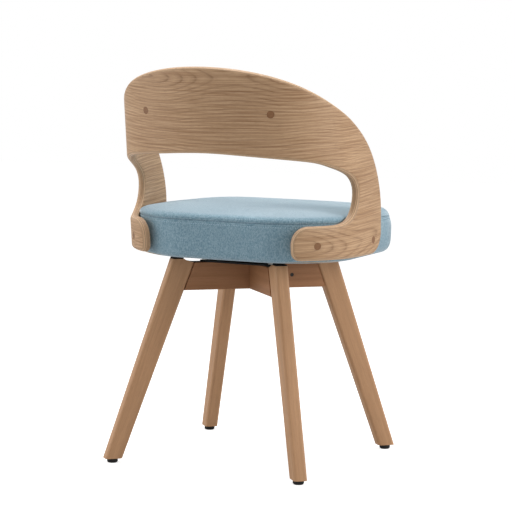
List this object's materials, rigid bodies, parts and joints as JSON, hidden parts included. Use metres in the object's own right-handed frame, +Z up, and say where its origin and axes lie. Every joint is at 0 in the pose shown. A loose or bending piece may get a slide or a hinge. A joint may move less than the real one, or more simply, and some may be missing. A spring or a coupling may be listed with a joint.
{
  "type": "swivel dining chair",
  "caption": "dining chair with a bent plywood back and arms in one piece, an upholstered seat and back pad, and a seat that turns freely on four splayed wooden legs",
  "frame": {"origin": "on the floor under the swivel axis, at the middle of the footprint", "axes": "+Z up along the swivel axis, the chair faces -Y, +X is at the sitter's left hand"},
  "size_m": [0.4766, 0.5102, 0.7603],
  "materials": {
    "oak_veneer": "satin oak veneer on bent plywood, light layered edges",
    "plug_wood": "satin end-grain plug, darker than the veneer",
    "leg_wood": "satin solid wood, straight grain",
    "inner_wood": "unfinished plywood and softwood",
    "seat_fabric": "light blue woven fabric, slightly flecked",
    "foam": "open-cell foam",
    "dust_cloth": "thin black underside cloth",
    "black_steel": "black powder coat",
    "zinc_steel": "zinc plated",
    "black_plastic": "moulded, fine matt",
    "black_rubber": "matt"
  },
  "bodies": {
    "base": {"leg_rear_left": "leg_wood", "leg_rear_right": "leg_wood", "leg_front_left": "leg_wood", "leg_front_right": "leg_wood", "rail_upper": "leg_wood", "rail_lower": "leg_wood", "leg_dowels": "leg_wood", "leg_studs": "zinc_steel", "barrel_nuts": "zinc_steel", "leg_top_pads": "black_rubber", "glides": "black_plastic", "glide_nails": "zinc_steel", "swivel_lower_plate": "black_steel", "lower_plate_screws": "zinc_steel", "bearing_ring": "black_plastic", "centre_rivet": "zinc_steel"},
    "seat": {"swivel_upper_plate": "black_steel", "upper_plate_screws": "zinc_steel", "dust_cover": "dust_cloth", "seat_board": "inner_wood", "seat_frame": "inner_wood", "seat_foam": "foam", "seat_side_band": "seat_fabric", "seat_top_cover": "seat_fabric", "arm_inserts": "zinc_steel", "arm_washers": "black_rubber", "arm_screws": "zinc_steel", "back_shell": "oak_veneer", "back_plugs": "plug_wood", "arm_plugs": "plug_wood", "back_pad": "seat_fabric", "back_pad_board": "inner_wood", "back_pad_inserts": "zinc_steel", "back_pad_screws": "zinc_steel"}
  },
  "joints": [
    {"name": "seat_swivel", "type": "hinge", "parent": "base", "child": "seat", "pos_m": [0, 0, 0.392], "axis": [0, 0, 1], "continuous": true}
  ]
}
